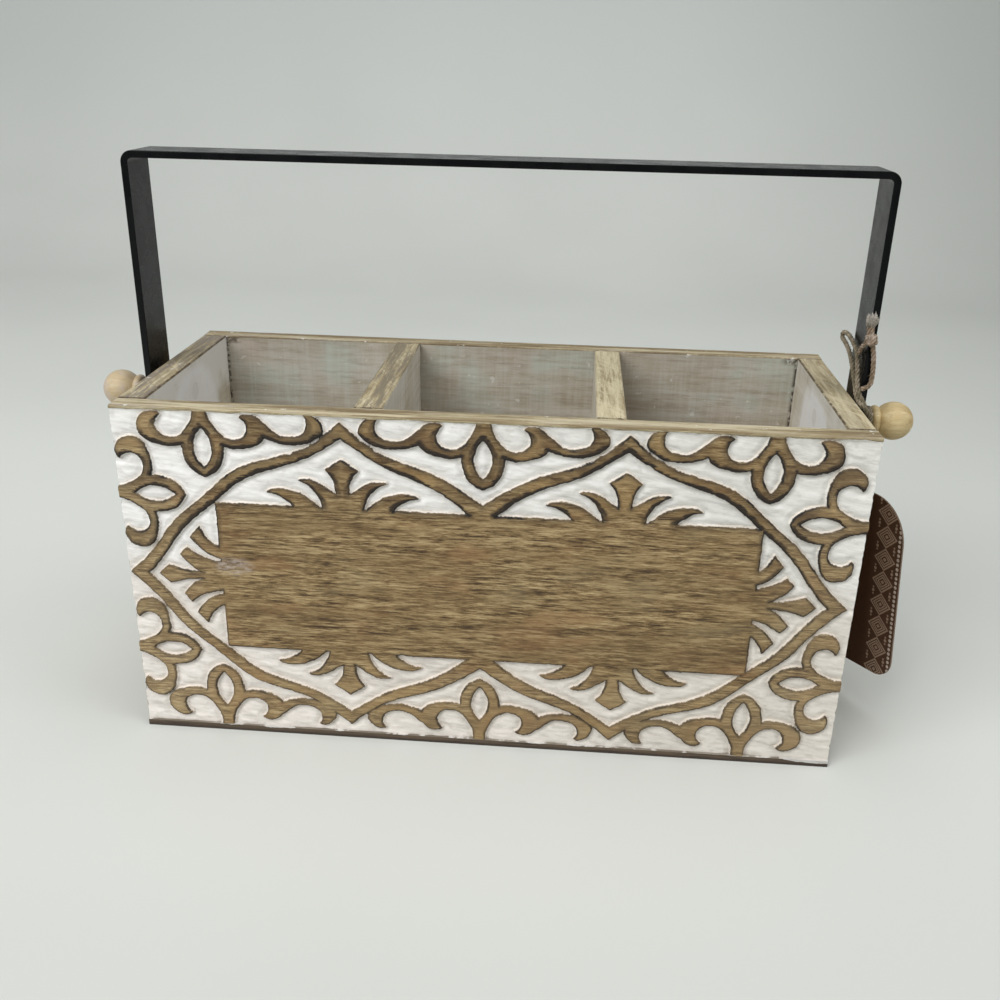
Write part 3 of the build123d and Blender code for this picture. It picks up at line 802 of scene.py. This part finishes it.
def splashed(look, colour, amount=0.7, white=(232, 230, 224)):
    """A colour with small splashes of white paint."""
    spots = look.noise((190, 260, 260), 3, 0.6)
    return look.tint(colour, white, spots, 0.67, 0.72, amount)


def rim_finish():
    """Bare tan edge of a board, sawn, with wiped and splashed white, dark at its joints."""
    look = Finish("board_rim", 0.7)
    bands, streaks, flecks = grain(look)
    tan = tan_edge(look, bands, streaks, flecks)
    wiped = look.noise((45, 260, 260), 4, 0.68)
    x, y, _ = look.axes()
    left = look.step(x, 0, -0.14, 0.4, 0.8)
    colour = look.mix(look.step(wiped, 0.5, 0.64) * left, tan, (172, 162, 148))
    sawn = look.noise((11, 210, 210), 6, 0.74, 0.3)
    colour = look.tint(colour, (112, 93, 61), sawn, 0.5, 0.57, 0.8)
    colour = look.tint(colour, (206, 195, 166), sawn, 0.46, 0.41, 0.6)
    depth = abs(y)
    outer = look.step(depth, (half_depth - 3.6) * MM, (half_depth - 2.8) * MM)
    strip = look.step(look.noise((12, 30, 30), 3), 0.44, 0.56, 0, 0.6)
    colour = look.mix(outer * strip, colour, (126, 107, 74))
    inner = look.step(depth, (inner_half + 0.1) * MM, (inner_half + 1.1) * MM, 1, 0)
    corner = look.step(abs(x), (bay_end - 1) * MM, bay_end * MM)
    dirt = look.step(look.noise(420, 3, 0.6), 0.34, 0.6, 0.2, 0.95)
    joint = inner * look.step(corner, 0, 1, 0.4, 1) * dirt
    colour = look.mix(joint, colour, (70, 54, 35))
    colour = splashed(look, colour)
    return look.finish(colour, None, streaks + flecks, 0.0004, 0.6)


def whitewash_finish():
    """Thin grey-white wash brushed both ways over stained wood, dirty in the bays' corners."""
    look = Finish("whitewash_long", 0.78)
    bands, streaks, _ = grain(look)
    under = look.ramp(bands, (0.3, (158, 146, 126)), (0.5, (172, 162, 143)), (0.72, (184, 176, 160)))
    under = look.tint(under, (140, 124, 102), streaks, 0.5, 0.62, 0.45)
    lengthwise = look.noise((16, 300, 300), 7, 0.76, 0.2)
    upright = look.noise((300, 300, 14), 6, 0.76, 0.2)
    clouds = look.noise(26, 4, 0.6)
    wash = look.step(lengthwise, 0.4, 0.6, 0, 0.3)
    wash += look.step(upright, 0.42, 0.6, 0, 0.2)
    wash += look.step(clouds, 0.36, 0.66, 0, 0.3)
    pale = look.ramp(clouds, (0.36, (210, 196, 188)), (0.5, (208, 205, 196)), (0.62, (196, 204, 194)))
    colour = look.mix(wash, under, pale)
    dragged = look.noise((70, 520, 520), 5, 0.7, 0.3)
    colour = look.tint(colour, (136, 122, 102), dragged, 0.5, 0.66, 0.32)
    colour = look.tint(colour, (214, 210, 202), dragged, 0.47, 0.34, 0.15)
    x, _, z = look.axes()
    # Painted shade: the wash a little darker towards the right.
    colour = look.mix(look.step(x, -0.07, 0.02), colour, (244, 243, 241), "MULTIPLY")
    aside = abs(x)
    dirt = look.noise(260, 3, 0.7)
    corner = look.step(aside, (bay_end - 1.8) * MM, bay_end * MM)
    corner *= look.step(dirt, 0.47, 0.52, 0.1, 0.95)
    colour = look.mix(corner, colour, (58, 44, 32))
    smudge = (
        look.step(aside, (bay_end - 9) * MM, (bay_end - 4) * MM)
        * look.step(z, (rim - 4.5) * MM, (rim - 2) * MM)
        * look.step(dirt, 0.4, 0.5, 0, 0.8)
    )
    colour = look.mix(smudge, colour, (74, 58, 44))
    colour = splashed(look, colour, 0.4, (226, 224, 218))
    return look.finish(colour, None, lengthwise + upright, 0.0003, 0.5)


def end_grain_finish():
    """Sawn ends of the long boards: curved growth rings, stained dark, smeared with white."""
    look = Finish("board_ends", 0.7)
    _, y, z = look.axes()
    rise = z + 0.04
    aside = abs(y) * 1.4
    span = (rise * rise + aside * aside) ** 0.5
    wobble = look.noise(40, 3)
    rings = look.zigzag(look.linear(wobble, 6, span * 620), 0.5)
    pores = look.noise(900, 3, 0.65)
    colour = look.ramp(rings, (0.05, (104, 82, 50)), (0.3, (136, 113, 75)), (0.48, (150, 128, 90)))
    colour = look.tint(colour, (80, 61, 36), pores, 0.5, 0.64, 0.6)
    smear = look.noise(60, 4, 0.65)
    colour = look.tint(colour, (205, 199, 188), smear, 0.56, 0.68, 0.5)
    return look.finish(colour, None, look.linear(pores, -0.5, rings), 0.0003, 0.45)


carved = carved_finish()
rims = rim_finish()
washed = whitewash_finish()
sawn_ends = end_grain_finish()
for side, outward in (("front", -1), ("back", 1)):
    board = carved_board(side + "_board_carved", side + "_panel", outward)
    dress(board, carved, rims, washed, sawn_ends)


# Plain boards keep their solids


def white_dab(look, colour, clouds, y, z):
    """White paint dabbed over the glued end of the knob's shank."""
    aside = abs((y - 3 * MM) * 34)
    above = abs((z - 118 * MM) * 31)
    dab = aside ** 3 + above ** 3 + look.linear(clouds, 2, -1)
    return look.mix(look.step(dab, 0.7, 1.3, 0.8, 0), colour, (248, 247, 245))


def cross_finish(name, outer, chalk_and_painted_light, wiped, wiping):
    """An end board or divider: sides more or less chalky, the most chalk on the left end as painted light;
    sawn top wiped with a colour, dark joints.
    """
    look = Finish(name, 0.75)
    quarter = (0, 0, math.pi / 2)
    bands, streaks, flecks = grain(look, quarter)
    under = look.ramp(bands, (0.3, (178, 167, 146)), (0.5, (194, 184, 162)), (0.72, (206, 198, 178)))
    under = look.tint(under, (158, 142, 116), streaks, 0.5, 0.62, 0.4)
    lengthwise = look.noise((16, 300, 300), 7, 0.76, 0.2, turn=quarter)
    upright = look.noise((200, 200, 16), 5, 0.7)
    clouds = look.noise((34, 34, 24), 3)
    wash = look.step(lengthwise, 0.42, 0.6, 0, 0.2)
    wash += look.step(upright, 0.42, 0.62, 0, 0.2)
    # The amount of chalk is partly painted light, highest on the left end.
    wash += look.step(clouds, 0.36, 0.6, 0, chalk_and_painted_light)
    inside = look.mix(wash, under, (236, 233, 226))
    tan = tan_edge(look, bands, streaks, flecks)
    scratch = look.noise((420, 30, 30), 5, 0.75, turn=(0, 0, 0.6))
    tan = look.tint(tan, (214, 203, 172), scratch, 0.52, 0.62, 0.5)
    rubbed = look.noise((30, 330, 330), 6, 0.72, turn=quarter)
    tan = look.tint(tan, wiping, rubbed, 0.44, 0.58, wiped)
    x, y, z = look.axes()
    top = look.step(z, (rim - 0.75) * MM, (rim - 0.35) * MM)
    if outer:
        inside = white_dab(look, inside, clouds, y, z)
    colour = look.mix(top, inside, tan)
    dirt = look.noise(330, 3, 0.7)
    joint = look.step(abs(y), (inner_half - 1.5) * MM, (inner_half - 0.4) * MM)
    joint *= look.step(dirt, 0.34, 0.58, 0.15, 0.95)
    colour = look.mix(joint, colour, (66, 50, 33))
    colour = splashed(look, colour, 0.6)
    if outer:
        reach = abs(x)
        lip = look.step(reach, (bay_end + 0.4) * MM, (bay_end + 1.2) * MM, 1, 0)
        lip = lip * top * look.step(dirt, 0.34, 0.54, 0.2, 0.95)
        colour = look.mix(lip, colour, (78, 62, 42))
        wood = stained_colour(look, bands, streaks, flecks, quarter)
        outside = look.step(reach, (half_length - 0.4) * MM, (half_length - 0.2) * MM)
        colour = look.mix(outside * look.compute("SUBTRACT", 1, top), colour, wood)
    return look.finish(colour, None, streaks + lengthwise, 0.0004, 0.5)


# The left end's chalk of 1.0 is painted light, brightening an inner face the lamps leave dim.
for node, *settings in (
    ("left_end_panel", True, 1.0, 1.0, (125, 115, 103)),
    ("right_end_panel", True, 0.4, 0.6, (180, 170, 144)),
    ("left_divider", False, 0.3, 1.0, (127, 116, 96)),
    ("right_divider", False, 0.3, 0.7, (208, 197, 164)),
):
    dress(nodes[node], cross_finish(node + "_finish", *settings))


def base_finish():
    """Dark stained base board, darker along its bottom as painted shade, washed inside the bays, its ledge
    under the carving painted white.
    """
    look = Finish("base_stain", 0.62)
    bands, streaks, _ = grain(look)
    dark = look.ramp(bands, (0.3, (68, 55, 43)), (0.6, (95, 79, 62)))
    dark = look.tint(dark, (38, 30, 24), streaks, 0.48, 0.62, 0.7)
    wash = look.noise((40, 180, 180), 4, 0.6)
    floor = look.tint((120, 110, 96), (158, 151, 140), wash, 0.35, 0.7)
    x, y, z = look.axes()
    drip = look.noise(90, 4, 0.65)
    # Painted shade: the stain darkened along the bottom, where the base meets the floor.
    dark = look.mix(look.step(z, 0.8 * MM, 1.8 * MM, 0.7, 0), dark, (40, 31, 25))
    level = z + look.linear(drip, 0.003, -0.0018)
    level += look.step(x, 0.118, 0.145, 0, 0.0012)
    upper = look.step(level, (base_top - 0.35) * MM, (base_top - 0.15) * MM, 0, 0.6)
    white, _ = white_paint(look)
    ledge = look.step(abs(y), (half_depth - 3) * MM, (half_depth - 2.8) * MM)
    inside = look.step(z, (base_top - 0.2) * MM, (base_top - 0.05) * MM)
    colour = look.mix(inside, dark, floor)
    colour = look.mix(ledge * upper, colour, white)
    return look.finish(colour, None, streaks, 0.0003, 0.5)


dress(nodes["base_board"], base_finish())


def strap_finish():
    """Satin black coat, a little scuffed."""
    look = Finish("black_strap", 0.3)
    speckle = look.noise(2400, 2)
    scuff = look.noise(90, 4, 0.65)
    colour = look.ramp(scuff, (0.35, (6, 7, 8)), (0.6, (10, 11, 12)), (0.8, (22, 23, 24)))
    rough = look.step(scuff, 0.3, 0.75, 0.22, 0.36)
    look.shader.inputs["Specular IOR Level"].default_value = 0.2
    return look.finish(colour, rough, speckle, 0.00005, 0.25)


dress(nodes["bail_handle"], strap_finish())


def knob_finish(name, whitened):
    """Pale turned wood with fine tool lines round it and wash on its inner end."""
    look = Finish(name, 0.55)
    bands = look.noise((40, 320, 320), 3, 0.55, 0.3)
    fine = look.noise((120, 1900, 1900), 3, 0.6)
    rings = look.noise((2400, 30, 30), 2)
    colour = look.ramp(bands, (0.3, (176, 152, 102)), (0.5, (196, 174, 124)), (0.72, (210, 191, 144)))
    colour = look.tint(colour, (156, 128, 80), fine, 0.5, 0.7, 0.45)
    smear = look.noise(150, 3, 0.6)
    colour = look.mix(look.step(smear, 0.4, 0.62, whitened * 0.4, whitened), colour, (190, 175, 160))
    x, _, _ = look.axes()
    inner = look.step(abs(x), (bay_end + 0.05) * MM, (bay_end + 0.3) * MM, 1, 0)
    wash = look.ramp(fine, (0.3, (222, 220, 214)), (0.7, (240, 238, 234)))
    return look.finish(look.mix(inner, colour, wash), None, rings, 0.0001, 0.35)


dress(nodes["left_knob"], knob_finish("left_knob_wood", 0.9))
dress(nodes["right_knob"], knob_finish("right_knob_wood", 0.12))


def steel_finish():
    """Drawn steel of the nails, dulled in patches."""
    look = Finish("nail_steel", 0.4)
    look.shader.inputs["Metallic"].default_value = 1
    patches = look.noise(700, 3, 0.6)
    colour = look.ramp(patches, (0.3, (136, 134, 130)), (0.7, (182, 181, 178)))
    return look.finish(colour, look.step(patches, 0.3, 0.7, 0.32, 0.55), patches, 0.0001, 0.3)


steel = steel_finish()
for name, solid in nodes.items():
    if name.endswith(("pins", "nails")):
        dress(solid, steel)


# Hang tag

tag_width = 46.0
tag_length = 86.0
tag_thickness = 0.8
tag_hole = Vector((171.0, 4.4, 97.5))
tag_hole_drop = 7.0
tag_hole_radius = 1.6
tag_grid = 2.6
tag_shoulder = 20
tag_corner = 9
tag_lean = math.radians(5.6)
tag_turn = math.radians(30)
tag_level = math.cos(tag_lean)
tag_across = Vector((math.sin(tag_turn) * tag_level, -math.cos(tag_turn) * tag_level, math.sin(tag_lean)))
tag_facing = Vector((-math.cos(tag_turn), -math.sin(tag_turn), 0))
tag_up = tag_facing.cross(tag_across)


def arc(centre, radius, start, end, steps):
    angles = np.radians(np.linspace(start, end, steps))
    return [(centre[0] + radius * math.cos(a), centre[1] + radius * math.sin(a)) for a in angles]


def tag_outline():
    """Card outline, hole at the origin: shoulders at the top, small corners at the foot."""
    top = tag_hole_drop
    foot = tag_hole_drop - tag_length
    half = tag_width / 2
    wide = half - tag_shoulder
    low = half - tag_corner
    outline = arc((wide, top - tag_shoulder), tag_shoulder, 0, 90, 16)
    outline += arc((-wide, top - tag_shoulder), tag_shoulder, 90, 180, 16)
    outline += arc((-low, foot + tag_corner), tag_corner, 180, 270, 10)
    return outline + arc((low, foot + tag_corner), tag_corner, 270, 360, 10)


def cut_tag():
    """Thin card with a hole, very slightly bowed along its length."""
    outline = tag_outline()
    hole = arc((0, 0), tag_hole_radius, 0, 360, 25)[:-1]
    border = [Vector(place) for place in outline + hole]
    inner = []
    for column in range(-8, 9):
        for row in range(-30, 3):
            place = Vector((column * tag_grid, row * tag_grid))
            near = min((place - other).length for other in border)
            if near > 1.2 and place.length > tag_grid:
                inner.append(place)
    edges = []
    for start, count in ((0, len(outline)), (len(outline), len(hole))):
        edges += [(start + step, start + (step + 1) % count) for step in range(count)]
    flat, _, faces, *_ = delaunay_2d_cdt(border + inner, edges, [], 3, 1e-5)
    count = len(flat)
    vertices = []
    for side in (1, -1):
        for place in flat:
            bow = math.cos(place.x / tag_width * math.pi)
            lift = side * tag_thickness / 2 + 0.9 * bow * max(0, -place.y) / tag_length
            vertices.append((tag_hole + tag_across * place.x + tag_up * place.y + tag_facing * lift) * MM)
    shell = [tuple(face) for face in faces]
    shell += [tuple(index + count for index in reversed(face)) for face in faces]
    used = {pair: True for face in faces for pair in zip(face, face[1:] + face[:1])}
    kinds = [0] * len(shell)
    for first, second in used:
        if (second, first) not in used:
            shell.append((second, first, first + count, second + count))
            kinds.append(1)
    mesh = bpy.data.meshes.new("hang_tag_card")
    mesh.from_pydata(vertices, [], shell)
    mesh.polygons.foreach_set("material_index", kinds)
    mesh.shade_smooth()
    mesh.set_sharp_from_angle(angle=math.radians(40))
    layer = mesh.uv_layers.new(name="card")
    for loop in mesh.loops:
        place = flat[loop.vertex_index % count]
        layer.data[loop.index].uv = (place.x * MM, place.y * MM)
    piece = make_object("hang_tag_card", mesh, "tag")
    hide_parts("hang_tag")
    return piece


def tag_finish():
    """Dark brown card with a generic border of nested lozenges and dots along one edge."""
    look = Finish("tag_card", 0.7)
    card_map = look.add("ShaderNodeUVMap", uv_map="card")
    across, up, _ = look.axes(Value(look, card_map.outputs["UV"]))
    fibre = look.noise(1200, 3, 0.6)
    card = look.ramp(fibre, (0.3, (66, 41, 25)), (0.7, (84, 54, 34)))
    card = look.tint(card, (92, 66, 48), across, 0.004, 0.008, 0.5)

    def row(repeat, middle, shift=0):
        """Distance along a repeat and from the row's middle line, in millimetres."""
        along = look.zigzag(up + shift * MM, repeat / 2 * MM)
        aside = abs(across - middle * MM)
        return along * 1000, aside * 1000

    def line(distance, centre, half):
        gap = abs(distance - centre)
        return look.step(gap, half, half + 0.25, 1, 0)

    def dots(repeat, middle, radius, shift=0):
        along, aside = row(repeat, middle, shift)
        distance = (along * along + aside * aside) ** 0.5
        return look.step(distance, radius - 0.12, radius + 0.12, 1, 0)

    along, aside = row(11.0, 13.6)
    lozenge = aside + along * 1.15
    shapes = look.larger(line(lozenge, 5.8, 0.45), line(lozenge, 4.1, 0.34))
    shapes = look.larger(shapes, line(lozenge, 2.6, 0.34))
    shapes = look.larger(shapes, look.step(lozenge, 1, 1.3, 1, 0))
    for middle in (8.6, 18.6):
        shapes = look.larger(shapes, dots(11, middle, 0.75, 5.5))
        for shift in (3.9, 7.1):
            shapes = look.larger(shapes, dots(11, middle, 0.5, shift))
    worn = look.step(fibre, 0.3, 0.6, 0.6, 0.95)
    colour = look.mix(shapes * worn, card, (184, 160, 142))
    colour = look.mix(dots(2.2, 21.3, 0.8) * worn, colour, (226, 210, 198))
    return look.finish(colour, None, fibre, 0.0001, 0.3)


def tag_edge_finish():
    """Cut edge of the card, paler than its print."""
    look = Finish("tag_edge", 0.85)
    fibre = look.noise(1800, 3, 0.6)
    return look.finish(look.ramp(fibre, (0.3, (104, 84, 68)), (0.7, (140, 120, 102))))


dress(cut_tag(), tag_finish(), tag_edge_finish())


# Floor and light


def floor_finish():
    look = Finish("floor", 0.6)
    speck = look.noise(3, 2)
    colour = look.ramp(speck, (0.3, (210, 212, 207)), (0.7, (215, 217, 212)))
    x, y, z = look.axes()
    # Darker up the backdrop and towards the front; darker towards the right as painted shade.
    colour = look.tint(colour, (198, 202, 199), z, 0, 0.5)
    colour = look.tint(colour, (168, 171, 166), x, 0.1, 0.8, 0.6)
    colour = look.tint(colour, (194, 196, 191), y, 0, -0.25, 0.6)
    return look.finish(colour)


def lay_floor():
    """Pale floor that curves up into a plain backdrop."""
    builder = bmesh.new()
    profile = [(-0.75, 0)]
    profile += [(0.9 + 0.5 * math.sin(a), 0.5 - 0.5 * math.cos(a)) for a in np.linspace(0, math.pi / 2, 17)]
    profile.append((1.4, 2.6))
    left, right = [[builder.verts.new((x, y, z)) for y, z in profile] for x in (-3, 3)]
    for step in range(len(profile) - 1):
        builder.faces.new((left[step], right[step], right[step + 1], left[step + 1]))
    floor = bpy.data.objects.new("floor", mesh_from(builder, "floor"))
    scene.collection.objects.link(floor)
    dress(floor, floor_finish())


def add_lamp(name, place, aim, size, power):
    data = bpy.data.lights.new(name, "AREA")
    data.shape = "RECTANGLE"
    data.size, data.size_y = size
    data.energy = power
    lamp = bpy.data.objects.new(name, data)
    scene.collection.objects.link(lamp)
    lamp.location = place
    lamp.rotation_euler = (Vector(aim) - Vector(place)).to_track_quat("-Z", "Y").to_euler()


def light_scene():
    """Studio light: a dim world that the camera sees brighter, and three soft lamps."""
    world = scene.world = bpy.data.worlds.new("studio")
    world.use_nodes = True
    tree = world.node_tree
    rays = tree.nodes.new("ShaderNodeLightPath")
    either = tree.nodes.new("ShaderNodeMixShader")
    tree.links.new(rays.outputs["Is Camera Ray"], either.inputs[0])
    for socket, colour, strength in ((1, (222, 226, 228), 0.32), (2, (204, 208, 205), 1.0)):
        glow = tree.nodes.new("ShaderNodeBackground")
        glow.inputs["Color"].default_value = paint(*colour)
        glow.inputs["Strength"].default_value = strength
        tree.links.new(glow.outputs[0], either.inputs[socket])
    tree.links.new(either.outputs[0], tree.nodes["World Output"].inputs["Surface"])
    add_lamp("key", (-0.9, -1.1, 1.25), aim=(0, 0, 0.08), size=(1.3, 1.1), power=23)
    add_lamp("top", (0.15, -0.1, 1.8), aim=(0, 0, 0.05), size=(1.7, 1.7), power=15)
    add_lamp("fill", (1.2, -0.5, 1.1), aim=(-0.1, 0, 0.1), size=(0.8, 0.8), power=5.5)


lay_floor()
light_scene()
scene.view_settings.view_transform = "Standard"
